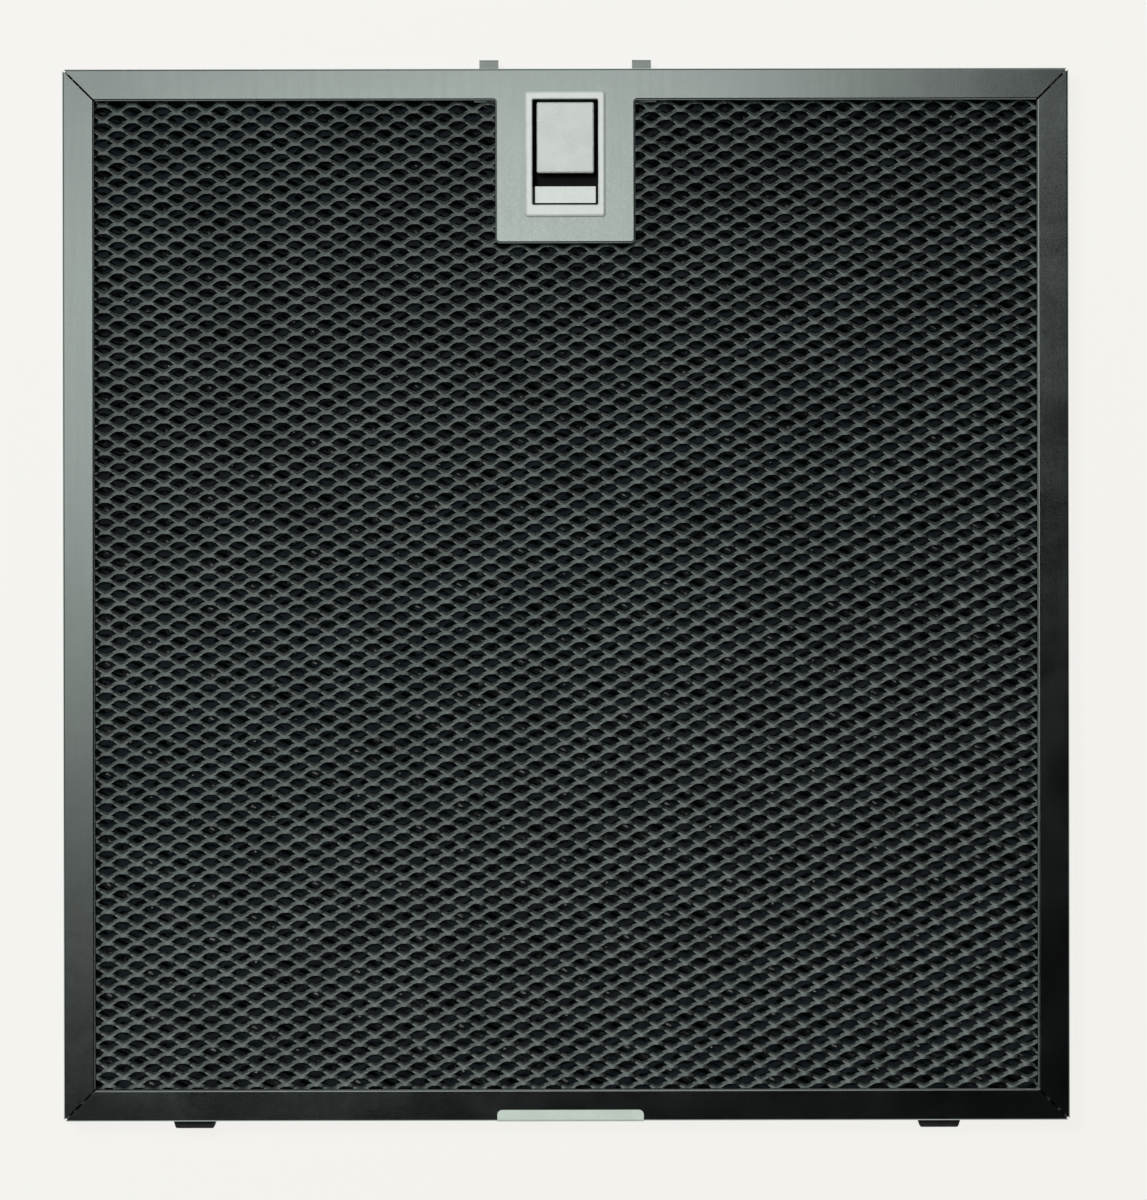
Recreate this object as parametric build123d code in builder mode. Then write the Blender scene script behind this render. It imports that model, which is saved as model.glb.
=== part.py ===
from build123d import *
import math
import os

os.makedirs("parts", exist_ok=True)

# Frame: lies on its back, front face up, latch towards +Y
frame_width = 306.0
frame_length = 320.0
frame_depth = 9.0
sheet = 0.6
flange = 9.7
lip = 2.0
bend = 0.65
corner_radius = 1.2
mitre_gap = 0.6

# Clearances: parts that rest on each other, parts pushed together, parts that slide
seat = 0.02
fit = 0.1
slide = 0.3

# Corner brackets
bracket_thickness = 1.0
bracket_leg = 24.0

# Mesh pack: a diamond pattern, shown by crossing layers of bars
diamond_width = 9.12
diamond_height = 4.83
bar_width = 1.0
outer_layer = 1.3
layer_gap = 0.05
inner_count = 3
pack_inset = 2.2
hidden_rim = 2.5
notch_rim = 1.0

# Latch plate: a tongue of the top rail
plate_width = 42.7
plate_length = 53.2
plate_corner = 1.4
plate_notch_corner = 0.6

# Latch surround
bezel_width = 24.4
bezel_length = 38.2
bezel_inset = 7.0
bezel_height = 0.9
bezel_round = 0.7
bezel_corner = 1.1
window_width = 20.0
window_length = 32.1
window_inset = 9.45
window_corner = 0.5
bezel_wall = 0.8
ledge_drop = 1.4
ledge_groove = 0.8
ledge_groove_depth = 1.3

# Latch pad and yoke
pad_width = 17.4
pad_length = 21.5
pad_inset = 10.35
pad_thickness = 2.7
pad_drop = 0.2
pad_corner = 0.6
pad_round = 0.4
stem_width = 8.0
stem_length = 8.0
yoke_thickness = 2.7
yoke_width = 13.0
yoke_end = 3.0
arm_height = 3.4
bolt_spacing = 46.6
bolt_width = 5.8
bolt_reach = 3.4
bolt_round = 0.5
travel = 3.6

# Latch carrier
carrier_side = 1.55
carrier_margin = 3.2
carrier_wall = 2.5
floor_thickness = 1.0

# Springs
spring_side = 5.7
spring_radius = 1.1
spring_wire = 0.45
spring_turns = 9
spring_length = 12.0

# Screw and rivets
screw_radius = 0.9
screw_head_radius = 1.9
screw_head = 1.2
screw_length = 5.5
rivet_radius = 1.0
rivet_head_radius = 1.9
rivet_head = 0.45
rivet_length = 3.5
rivet_side = 3.7
rivet_margin = 3.6
rivet_below_springs = 7.0

# Locating tabs
tab_inset = 39.6
tab_root = 13.0
tab_tip = 11.4
tab_reach = 2.5
tab_thickness = 4.0
tab_round = 0.8
tab_base = 17.0
tab_base_height = 6.4
tab_base_thickness = 1.1

# Label
label_width = 44.5
label_shift = 1.1
label_front = 3.4
label_thickness = 0.15
label_round = 1.5

# Places worked out from the sizes
top_edge = frame_length / 2
side_edge = frame_width / 2
front_inside = frame_depth - sheet
plate_bottom = top_edge - plate_length
rail_inner = top_edge - flange
bezel_middle = top_edge - bezel_inset - bezel_length / 2
window_middle = top_edge - window_inset - window_length / 2
pad_middle = top_edge - pad_inset - pad_length / 2
cover_front = 2 * sheet + seat
yoke_back = cover_front + slide
yoke_front = yoke_back + yoke_thickness
floor_back = yoke_front + slide
floor_front = floor_back + floor_thickness
pad_front = frame_depth + bezel_height - pad_drop
pad_back = pad_front - pad_thickness
window_bottom = top_edge - window_inset - window_length
ledge_top = pad_middle - pad_length / 2 - travel - slide
ledge_front = frame_depth - ledge_drop
bezel_back = floor_front + 2 * seat
arm_space = rail_inner + sheet
arm_bottom = arm_space + slide + travel
arm_top = arm_bottom + arm_height
carrier_width = plate_width - 2 * (sheet + carrier_side)
carrier_bottom = plate_bottom + carrier_margin
carrier_top = top_edge - window_inset + bezel_wall + fit + carrier_wall
notch_width = carrier_width + 2 * slide
arm_notch_width = bolt_spacing + bolt_width + 4 * slide
bezel_body_width = window_width + 2 * bezel_wall
bezel_body_length = window_length + 2 * bezel_wall
yoke_middle = yoke_back + yoke_thickness / 2
yoke_bottom = pad_middle - stem_length / 2 - yoke_end
spring_seat = arm_bottom - spring_length
spring_offset = carrier_width / 2 - spring_side
rivet_spacing = carrier_width - 2 * rivet_side
rivet_rows = (carrier_bottom + rivet_margin, spring_seat - rivet_below_springs)
tab_spacing = frame_width - 2 * tab_inset


def rail_plane(x, y, inward):
    return Plane(origin=(x, y, 0), x_dir=inward, z_dir=Vector(*inward).cross(Vector(0, 0, 1)))


def mitre_plane(x, y, keep_x, keep_y):
    normal = Vector(keep_x, keep_y, 0).normalized()
    return Plane(origin=Vector(x, y, 0) + normal * (mitre_gap / 2), z_dir=normal)


# Section of a rail: a folded channel with lips that press on the mesh
with BuildSketch() as rail_section:
    with Locations((flange / 2, frame_depth / 2)):
        RectangleRounded(flange, frame_depth, bend)
        RectangleRounded(flange - 2 * sheet, frame_depth - 2 * sheet, bend - sheet, mode=Mode.SUBTRACT)
    with Locations((flange - sheet / 2, frame_depth / 2)):
        Rectangle(2 * sheet, frame_depth - 2 * lip, mode=Mode.SUBTRACT)

with BuildSketch() as frame_outline:
    RectangleRounded(frame_width, frame_length, corner_radius)

# Left rail
with BuildPart() as left_rail:
    with BuildSketch(rail_plane(-side_edge, 0, (1, 0, 0))):
        add(rail_section.sketch)
    extrude(amount=top_edge, both=True)
    for end in (-1, 1):
        split(bisect_by=mitre_plane(-side_edge, end * top_edge, -1, -end), keep=Keep.TOP)
    with BuildSketch():
        add(frame_outline.sketch)
    extrude(amount=frame_depth, mode=Mode.INTERSECT)
left_rail.part.label = "left_rail"
export_step(left_rail.part, "parts/left_rail.step")

# Right rail
with BuildPart() as right_rail:
    with BuildSketch(rail_plane(side_edge, 0, (-1, 0, 0))):
        add(rail_section.sketch)
    extrude(amount=top_edge, both=True)
    for end in (-1, 1):
        split(bisect_by=mitre_plane(side_edge, end * top_edge, 1, -end), keep=Keep.TOP)
    with BuildSketch():
        add(frame_outline.sketch)
    extrude(amount=frame_depth, mode=Mode.INTERSECT)
right_rail.part.label = "right_rail"
export_step(right_rail.part, "parts/right_rail.step")

# Bottom rail, with a slot in its web for each locating tab
with BuildPart() as bottom_rail:
    with BuildSketch(rail_plane(0, -top_edge, (0, 1, 0))):
        add(rail_section.sketch)
    extrude(amount=side_edge, both=True)
    for end in (-1, 1):
        split(bisect_by=mitre_plane(end * side_edge, -top_edge, -end, -1), keep=Keep.TOP)
    with BuildSketch():
        add(frame_outline.sketch)
    extrude(amount=frame_depth, mode=Mode.INTERSECT)
    with BuildSketch(Plane.XZ.offset(top_edge)):
        with Locations((-tab_spacing / 2, frame_depth / 2), (tab_spacing / 2, frame_depth / 2)):
            Rectangle(tab_root + 2 * fit, tab_thickness + 2 * fit)
    extrude(amount=-2 * sheet, mode=Mode.SUBTRACT)
bottom_rail.part.label = "bottom_rail"
export_step(bottom_rail.part, "parts/bottom_rail.step")

# Top rail: its front and the latch plate are one formed sheet, then come the web, the back and the openings
with BuildPart() as top_rail:
    with BuildSketch(Plane.XY.offset(frame_depth - lip)) as front_form:
        with Locations((0, top_edge - flange / 2)):
            Rectangle(frame_width, flange)
        with Locations((0, top_edge - plate_length / 2)):
            Rectangle(plate_width, plate_length)
        fillet(front_form.vertices().group_by(Axis.Y)[1].sort_by(Axis.X)[1:3], plate_notch_corner)
        fillet(front_form.vertices().group_by(Axis.Y)[0], plate_corner)
    extrude(amount=lip)
    fillet(top_rail.faces().sort_by(Axis.Z)[-1].edges().sort_by(Axis.X)[1:-1], bend)
    with BuildSketch(Plane.XY.offset(frame_depth - lip)):
        with Locations((0, top_edge - flange / 2)):
            Rectangle(2 * frame_width, flange - 2 * sheet)
        with Locations((0, top_edge - plate_length / 2)):
            Rectangle(plate_width - 2 * sheet, plate_length - 2 * sheet)
    extrude(amount=lip - sheet, mode=Mode.SUBTRACT)
    with BuildSketch(rail_plane(0, top_edge, (0, -1, 0))):
        add(rail_section.sketch)
        with Locations((flange / 2, frame_depth - lip / 2)):
            Rectangle(2 * flange, lip, mode=Mode.SUBTRACT)
    extrude(amount=side_edge, both=True)
    for end in (-1, 1):
        split(bisect_by=mitre_plane(end * side_edge, top_edge, -end, 1), keep=Keep.TOP)
    with BuildSketch():
        with Locations((0, plate_bottom / 2)):
            Rectangle(2 * plate_width, frame_length)
        add(frame_outline.sketch)
    extrude(amount=frame_depth, mode=Mode.INTERSECT)
    with BuildSketch():
        with Locations((0, rail_inner + bend / 2)):
            Rectangle(plate_width + 4 * slide, bend + slide)
    extrude(amount=frame_depth / 2, mode=Mode.SUBTRACT)
    with BuildSketch(Plane.XY.offset(front_inside)):
        with Locations((0, window_middle)):
            Rectangle(bezel_body_width + 2 * fit, bezel_body_length + 2 * fit)
    extrude(amount=2 * sheet, mode=Mode.SUBTRACT)
    with BuildSketch(Plane.XZ.offset(-top_edge)):
        with Locations((-bolt_spacing / 2, yoke_middle), (bolt_spacing / 2, yoke_middle)):
            Rectangle(bolt_width + 2 * slide, yoke_thickness + 2 * slide)
    extrude(amount=2 * sheet, mode=Mode.SUBTRACT)
top_rail.part.label = "top_rail"
export_step(top_rail.part, "parts/top_rail.step")

# Corner brackets inside the channels
for corner, toward_x, toward_y in (
    ("top_left", 1, -1),
    ("top_right", -1, -1),
    ("bottom_left", 1, 1),
    ("bottom_right", -1, 1),
):
    corner_x = -toward_x * (side_edge - sheet - seat)
    corner_y = -toward_y * (top_edge - sheet - seat)
    with BuildPart() as corner_bracket:
        with BuildSketch(Plane.XY.offset(bend + seat)):
            with BuildLine():
                Polyline(
                    (corner_x, corner_y),
                    (corner_x + toward_x * bracket_leg, corner_y),
                    (corner_x + toward_x * bracket_leg, corner_y + toward_y * bracket_thickness),
                    (corner_x + toward_x * bracket_thickness, corner_y + toward_y * bracket_thickness),
                    (corner_x + toward_x * bracket_thickness, corner_y + toward_y * bracket_leg),
                    (corner_x, corner_y + toward_y * bracket_leg),
                    close=True,
                )
            make_face()
        extrude(amount=frame_depth - 2 * (bend + seat))
        fillet(corner_bracket.edges().filter_by(Axis.Z).sort_by_distance((corner_x, corner_y, 0))[0], bend)
    corner_bracket.part.label = "corner_bracket_" + corner
    export_step(corner_bracket.part, "parts/corner_bracket_" + corner + ".step")

# Outline of a mesh sheet, the field that carries its openings, and the two slopes of openings
mesh_width = frame_width - 2 * pack_inset
mesh_length = frame_length - 2 * pack_inset
field_width = frame_width - 2 * flange + 2 * hidden_rim
field_length = frame_length - 2 * flange + 2 * hidden_rim
notch_bottom = carrier_bottom - slide
slope = math.degrees(math.atan2(diamond_height, diamond_width))
bar_pitch = diamond_width * math.sin(math.radians(slope))
bar_reach = field_width + field_length
bar_span = field_width * math.sin(math.radians(slope)) + field_length * math.cos(math.radians(slope))
bar_count = math.ceil(bar_span / bar_pitch)

with BuildSketch() as mesh_outline:
    Rectangle(mesh_width, mesh_length)
    with Locations((0, (notch_bottom + top_edge) / 2)):
        Rectangle(notch_width, top_edge - notch_bottom, mode=Mode.SUBTRACT)
    with Locations((0, (arm_space + top_edge) / 2)):
        Rectangle(arm_notch_width, top_edge - arm_space, mode=Mode.SUBTRACT)

with BuildSketch() as mesh_field:
    Rectangle(field_width, field_length)
    with Locations((0, (notch_bottom - notch_rim + top_edge) / 2)):
        Rectangle(notch_width + 2 * notch_rim, top_edge - notch_bottom + notch_rim, mode=Mode.SUBTRACT)
    with Locations((0, (arm_space - notch_rim + top_edge) / 2)):
        Rectangle(arm_notch_width + 2 * notch_rim, top_edge - arm_space + notch_rim, mode=Mode.SUBTRACT)

with BuildSketch() as rising_openings:
    with Locations(Location((0, 0, 0), (0, 0, slope))):
        with GridLocations(1, bar_pitch, 1, bar_count):
            Rectangle(bar_reach, bar_pitch - bar_width)
    add(mesh_field.sketch, mode=Mode.INTERSECT)

with BuildSketch() as falling_openings:
    with Locations(Location((0, 0, 0), (0, 0, -slope))):
        with GridLocations(1, bar_pitch, 1, bar_count):
            Rectangle(bar_reach, bar_pitch - bar_width)
    add(mesh_field.sketch, mode=Mode.INTERSECT)

# Mesh pack, from the back to the front
inner_layer = (frame_depth - 2 * lip - 2 * outer_layer - (inner_count + 3) * layer_gap) / inner_count
layer_back = lip + layer_gap
for layer, thickness, openings in (
    ("back_mesh", outer_layer, rising_openings),
    ("inner_mesh_3", inner_layer, falling_openings),
    ("inner_mesh_2", inner_layer, rising_openings),
    ("inner_mesh_1", inner_layer, falling_openings),
    ("front_mesh", outer_layer, rising_openings),
):
    with BuildPart() as mesh_sheet:
        with BuildSketch(Plane.XY.offset(layer_back)):
            add(mesh_outline.sketch)
            add(openings.sketch, mode=Mode.SUBTRACT)
        extrude(amount=thickness)
    mesh_sheet.part.label = layer
    export_step(mesh_sheet.part, "parts/" + layer + ".step")
    layer_back = layer_back + thickness + layer_gap

# Latch surround: a raised frame, walls down to the carrier's floor, and a grooved ledge below the pad
with BuildPart() as latch_bezel:
    with BuildSketch(Plane.XY.offset(frame_depth + seat)):
        with Locations((0, bezel_middle)):
            RectangleRounded(bezel_width, bezel_length, bezel_corner)
    extrude(amount=bezel_height)
    fillet(latch_bezel.faces().sort_by(Axis.Z)[-1].edges(), bezel_round)
    with BuildSketch(Plane.XY.offset(frame_depth + seat)):
        with Locations((0, window_middle)):
            Rectangle(bezel_body_width, bezel_body_length)
    extrude(amount=bezel_back - frame_depth - seat)
    with BuildSketch(Plane.XY.offset(floor_front)):
        with Locations((0, window_middle)):
            RectangleRounded(window_width, window_length, window_corner)
    extrude(amount=frame_depth, mode=Mode.SUBTRACT)
    fillet(latch_bezel.faces().sort_by(Axis.Z)[-1].inner_wires()[0].edges(), bezel_round / 2)
    with BuildSketch(Plane.XY.offset(bezel_back)):
        with Locations((0, (window_bottom - bezel_wall + ledge_top) / 2)):
            Rectangle(window_width + bezel_wall, ledge_top - window_bottom + bezel_wall)
    extrude(amount=ledge_front - ledge_groove_depth - bezel_back)
    with BuildSketch(Plane.XY.offset(bezel_back)):
        with Locations((0, (window_bottom + ledge_groove + ledge_top) / 2)):
            Rectangle(window_width - 2 * ledge_groove, ledge_top - window_bottom - ledge_groove)
    extrude(amount=ledge_front - bezel_back)
latch_bezel.part.label = "latch_bezel"
export_step(latch_bezel.part, "parts/latch_bezel.step")

# Carrier behind the plate: seats the surround, guides the yoke, backs the springs
with BuildPart() as latch_carrier:
    with BuildSketch(Plane.XY.offset(cover_front + seat)):
        with Locations((0, (carrier_bottom + carrier_top) / 2)):
            RectangleRounded(carrier_width, carrier_top - carrier_bottom, bend)
    extrude(amount=front_inside - cover_front - 2 * seat)
    with BuildSketch(Plane.XY.offset(floor_front)):
        with Locations((0, window_middle)):
            Rectangle(bezel_body_width + 2 * fit, bezel_body_length + 2 * fit)
    extrude(amount=frame_depth, mode=Mode.SUBTRACT)
    with BuildSketch():
        with Locations((0, (yoke_bottom - travel - slide + top_edge) / 2)):
            Rectangle(yoke_width + 2 * slide, top_edge - yoke_bottom + travel + slide)
        with Locations((0, (arm_space + top_edge) / 2)):
            Rectangle(frame_width, top_edge - arm_space)
        for side in (-1, 1):
            with Locations((side * spring_offset, (spring_seat + top_edge) / 2)):
                Rectangle(2 * (spring_radius + spring_wire + slide), top_edge - spring_seat)
    extrude(amount=floor_back, mode=Mode.SUBTRACT)
    with BuildSketch():
        with Locations((0, pad_middle - travel / 2)):
            Rectangle(stem_width + 2 * slide, stem_length + travel + 2 * slide)
    extrude(amount=frame_depth, mode=Mode.SUBTRACT)
    for row in rivet_rows:
        with BuildSketch():
            with Locations((-rivet_spacing / 2, row), (rivet_spacing / 2, row)):
                Circle(rivet_radius + fit / 2)
        extrude(amount=cover_front + rivet_length + fit, mode=Mode.SUBTRACT)
latch_carrier.part.label = "latch_carrier"
export_step(latch_carrier.part, "parts/latch_carrier.step")

# Pad with its stem
with BuildPart() as latch_pad:
    with BuildSketch(Plane.XY.offset(pad_back)):
        with Locations((0, pad_middle)):
            RectangleRounded(pad_width, pad_length, pad_corner)
    extrude(amount=pad_thickness)
    fillet(latch_pad.faces().sort_by(Axis.Z)[-1].edges(), pad_round)
    with BuildSketch(Plane.XY.offset(yoke_front)):
        with Locations((0, pad_middle)):
            Rectangle(stem_width, stem_length)
    extrude(amount=pad_back - yoke_front)
    with BuildSketch(Plane.XY.offset(yoke_front)):
        with Locations((0, pad_middle)):
            Circle(screw_radius + fit / 2)
    extrude(amount=screw_length - yoke_thickness + screw_head + 2 * fit, mode=Mode.SUBTRACT)
latch_pad.part.label = "latch_pad"
export_step(latch_pad.part, "parts/latch_pad.step")

# Yoke: a bar inside the top rail with two bolts, and a leg to the pad
screw_seat = yoke_back + screw_head + fit
with BuildPart() as latch_yoke:
    with BuildSketch(Plane.XY.offset(yoke_back)):
        with Locations((0, (yoke_bottom + arm_top) / 2)):
            Rectangle(yoke_width, arm_top - yoke_bottom)
        with Locations((0, (arm_bottom + arm_top) / 2)):
            Rectangle(bolt_spacing + bolt_width, arm_height)
        for side in (-1, 1):
            with Locations((side * bolt_spacing / 2, (arm_bottom + top_edge + bolt_reach) / 2)):
                Rectangle(bolt_width, top_edge + bolt_reach - arm_bottom)
    extrude(amount=yoke_thickness)
    fillet(latch_yoke.edges().filter_by(Axis.X).group_by(Axis.Y)[-1], bolt_round)
    with BuildSketch(Plane.XY.offset(screw_seat)):
        with Locations((0, pad_middle)):
            Circle(screw_head_radius + fit)
    extrude(amount=-screw_seat, mode=Mode.SUBTRACT)
    with BuildSketch(Plane.XY.offset(yoke_back)):
        with Locations((0, pad_middle)):
            Circle(screw_radius + fit / 2)
    extrude(amount=yoke_thickness, mode=Mode.SUBTRACT)
latch_yoke.part.label = "latch_yoke"
export_step(latch_yoke.part, "parts/latch_yoke.step")

# Screw that holds the pad to the yoke
with BuildPart() as pad_screw:
    with BuildSketch(Plane.XY.offset(screw_seat)):
        with Locations((0, pad_middle)):
            Circle(screw_radius)
    extrude(amount=screw_length - screw_head)
    with BuildSketch(Plane.XY.offset(screw_seat)):
        with Locations((0, pad_middle)):
            Circle(screw_head_radius)
    extrude(amount=-screw_head)
    with BuildSketch(Plane.XY.offset(screw_seat - screw_head)):
        with Locations((0, pad_middle)):
            Rectangle(screw_head_radius, screw_head / 4)
            Rectangle(screw_head / 4, screw_head_radius)
    extrude(amount=screw_head / 2, mode=Mode.SUBTRACT)
pad_screw.part.label = "pad_screw"
export_step(pad_screw.part, "parts/pad_screw.step")

# Springs between the carrier and the yoke's bar
coil_height = spring_length - spring_wire - 2 * fit
for side, hand in (("left", -1), ("right", 1)):
    with BuildPart() as latch_spring:
        with BuildLine() as coil:
            Helix(
                coil_height / spring_turns,
                coil_height,
                spring_radius,
                center=(hand * spring_offset, spring_seat + fit + spring_wire / 2, yoke_middle),
                direction=(0, 1, 0),
            )
        with BuildSketch(Plane(origin=coil.line @ 0, z_dir=coil.line % 0)):
            Circle(spring_wire / 2)
        sweep(path=coil.line, is_frenet=True)
    latch_spring.part.label = "latch_spring_" + side
    export_step(latch_spring.part, "parts/latch_spring_" + side + ".step")

# Cover over the back of the latch, tucked under the top rail's back flange
with BuildPart() as latch_back_cover:
    with BuildSketch(Plane.XY.offset(sheet + seat)):
        with Locations((0, (plate_bottom + rail_inner - slide) / 2)):
            Rectangle(plate_width, rail_inner - slide - plate_bottom)
    extrude(amount=lip - sheet - 2 * seat)
    fillet(latch_back_cover.edges().filter_by(Axis.Z).group_by(Axis.Y)[0], plate_corner)
    fillet(latch_back_cover.faces().sort_by(Axis.Z)[0].edges().sort_by(Axis.Y)[:-1], bend)
    with BuildSketch(Plane.XY.offset(cover_front)):
        with Locations((0, (plate_bottom + sheet + rail_inner) / 2)):
            RectangleRounded(plate_width - 2 * sheet, rail_inner - plate_bottom - sheet, plate_notch_corner)
    extrude(amount=lip, mode=Mode.SUBTRACT)
    with BuildSketch(Plane.XY.offset(sheet + seat)):
        with Locations((0, (rail_inner - flange / 2 + arm_top) / 2)):
            Rectangle(plate_width - 4 * sheet, arm_top - rail_inner + flange / 2)
    extrude(amount=sheet)
    for row in rivet_rows:
        with BuildSketch(Plane.XY):
            with Locations((-rivet_spacing / 2, row), (rivet_spacing / 2, row)):
                Circle(rivet_radius + fit / 2)
        extrude(amount=lip, mode=Mode.SUBTRACT)
latch_back_cover.part.label = "latch_back_cover"
export_step(latch_back_cover.part, "parts/latch_back_cover.step")

# Rivets that hold the cover and the carrier together
with BuildPart() as cover_rivets:
    for row in rivet_rows:
        with BuildSketch(Plane.XY.offset(sheet)):
            with Locations((-rivet_spacing / 2, row), (rivet_spacing / 2, row)):
                Circle(rivet_radius)
        extrude(amount=rivet_length)
        with BuildSketch(Plane.XY.offset(sheet)):
            with Locations((-rivet_spacing / 2, row), (rivet_spacing / 2, row)):
                Circle(rivet_head_radius)
        extrude(amount=-rivet_head)
    fillet(cover_rivets.edges().filter_by(GeomType.CIRCLE).group_by(Axis.Z)[0], rivet_head * 0.8)
cover_rivets.part.label = "cover_rivets"
export_step(cover_rivets.part, "parts/cover_rivets.step")

# Locating tabs, pushed out through the bottom rail from inside
for side, hand in (("left", -1), ("right", 1)):
    tab_x = hand * tab_spacing / 2
    web_inside = -top_edge + sheet + seat
    with BuildPart() as locating_tab:
        with BuildSketch(Plane.XY.offset((frame_depth - tab_thickness) / 2)):
            with BuildLine():
                Polyline(
                    (tab_x - tab_root / 2, web_inside),
                    (tab_x - tab_root / 2, -top_edge),
                    (tab_x - tab_tip / 2, -top_edge - tab_reach),
                    (tab_x + tab_tip / 2, -top_edge - tab_reach),
                    (tab_x + tab_root / 2, -top_edge),
                    (tab_x + tab_root / 2, web_inside),
                    close=True,
                )
            make_face()
        extrude(amount=tab_thickness)
        fillet(locating_tab.faces().sort_by(Axis.Y)[0].edges(), tab_round)
        with BuildSketch(Plane.XZ.offset(-web_inside)):
            with Locations((tab_x, frame_depth / 2)):
                RectangleRounded(tab_base, tab_base_height, bend)
        extrude(amount=-tab_base_thickness)
    locating_tab.part.label = "locating_tab_" + side
    export_step(locating_tab.part, "parts/locating_tab_" + side + ".step")

# Label folded over the bottom edge, bare
with BuildPart() as label:
    with BuildSketch(Plane.YZ.offset(label_shift - label_width / 2)):
        with BuildLine():
            FilletPolyline(
                (-top_edge - seat, bend),
                (-top_edge - seat, frame_depth + seat),
                (-top_edge + label_front, frame_depth + seat),
                radius=bend + seat,
            )
            offset(amount=label_thickness, side=Side.LEFT)
        make_face()
    extrude(amount=label_width)
    fillet(label.edges().filter_by(Axis.Z).group_by(Axis.Y)[-1], label_round)
label.part.label = "label"
export_step(label.part, "parts/label.step")
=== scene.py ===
import math

import bpy
from bpy.props import FloatProperty, FloatVectorProperty, IntProperty, PointerProperty
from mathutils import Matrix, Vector


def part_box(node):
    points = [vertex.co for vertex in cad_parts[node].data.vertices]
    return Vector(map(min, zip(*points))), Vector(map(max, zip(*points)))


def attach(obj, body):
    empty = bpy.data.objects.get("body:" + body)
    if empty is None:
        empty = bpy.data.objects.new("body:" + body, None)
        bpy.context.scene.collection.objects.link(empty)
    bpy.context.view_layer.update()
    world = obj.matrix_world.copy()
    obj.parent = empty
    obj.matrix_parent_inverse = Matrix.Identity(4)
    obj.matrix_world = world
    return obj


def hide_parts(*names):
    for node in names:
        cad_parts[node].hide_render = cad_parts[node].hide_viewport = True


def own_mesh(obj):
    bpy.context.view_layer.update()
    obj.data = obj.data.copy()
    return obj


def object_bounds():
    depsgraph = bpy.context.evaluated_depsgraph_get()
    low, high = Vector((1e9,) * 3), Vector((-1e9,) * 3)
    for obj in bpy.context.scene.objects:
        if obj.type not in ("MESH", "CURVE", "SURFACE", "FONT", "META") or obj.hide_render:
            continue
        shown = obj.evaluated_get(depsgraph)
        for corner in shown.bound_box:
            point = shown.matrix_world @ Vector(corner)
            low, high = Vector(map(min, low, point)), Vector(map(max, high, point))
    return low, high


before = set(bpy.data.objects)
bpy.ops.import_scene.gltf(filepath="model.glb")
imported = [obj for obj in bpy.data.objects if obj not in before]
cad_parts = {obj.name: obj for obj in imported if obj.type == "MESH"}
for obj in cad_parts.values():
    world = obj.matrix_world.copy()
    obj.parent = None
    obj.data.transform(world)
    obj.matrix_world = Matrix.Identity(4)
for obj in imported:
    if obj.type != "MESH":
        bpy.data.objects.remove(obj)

bl_info = {
    "name": "Cooker hood filter",
    "version": (1, 0, 0),
    "blender": (4, 5, 0),
    "location": "View3D > Sidebar > Filter",
    "description": "Dresses the packed cooker hood filter: expanded mesh, metal finishes, latch and stage",
    "category": "Object",
}

MM = 0.001
MICRON = 0.001 * MM
CAD_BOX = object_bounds()

# Finishes: height over which the latch's silver fades into the painted shade below it, and how strong the
# fine part of a noise is
SHADE_EDGE_FADE = 0.2 * MM
NOISE_ROUGHNESS = 0.6

# Sheets: rows and columns laid out past a sheet's edge, how near corners are joined, and the side faced
SPARE_BONDS = 4
MERGE_DISTANCE = 0.01 * MM
UPWARD, DOWNWARD = 1, -1

# Springs: points in a turn, and sides of the round wire
COIL_STEPS = 20
WIRE_SIDES = 10

# The studio's soft box: how far its edge leans, its strength, and that of the dark round it
BOX_SLANT = 0.6
BOX_LEVEL = 1.4
ROOM_LEVEL = 0.002

# Places of a Mix node's two colours and of its mixed colour
MIX_FIRST, MIX_SECOND, MIX_RESULT = 6, 7, 2

RAILS = ("top_rail", "bottom_rail", "left_rail", "right_rail")
CORNERS = ("top_left", "top_right", "bottom_left", "bottom_right")
BRACKETS = tuple("corner_bracket_" + corner for corner in CORNERS)


def length(name, millimetres, description):
    """A size in metres, written here in millimetres."""
    return FloatProperty(
        name=name,
        description=description,
        default=millimetres * MM,
        precision=5,
        subtype="DISTANCE",
        unit="LENGTH",
    )


def angle(name, degrees, description):
    """A turn in radians, written here in degrees."""
    return FloatProperty(
        name=name, description=description, default=math.radians(degrees), subtype="ANGLE", unit="ROTATION"
    )


def share(name, value, description):
    """A plain ratio."""
    return FloatProperty(name=name, description=description, default=value)


def colour(name, red, green, blue, description):
    """A linear colour."""
    return FloatVectorProperty(
        name=name,
        description=description,
        default=(red, green, blue),
        size=3,
        min=0.0,
        max=1.0,
        subtype="COLOR",
    )


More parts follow.
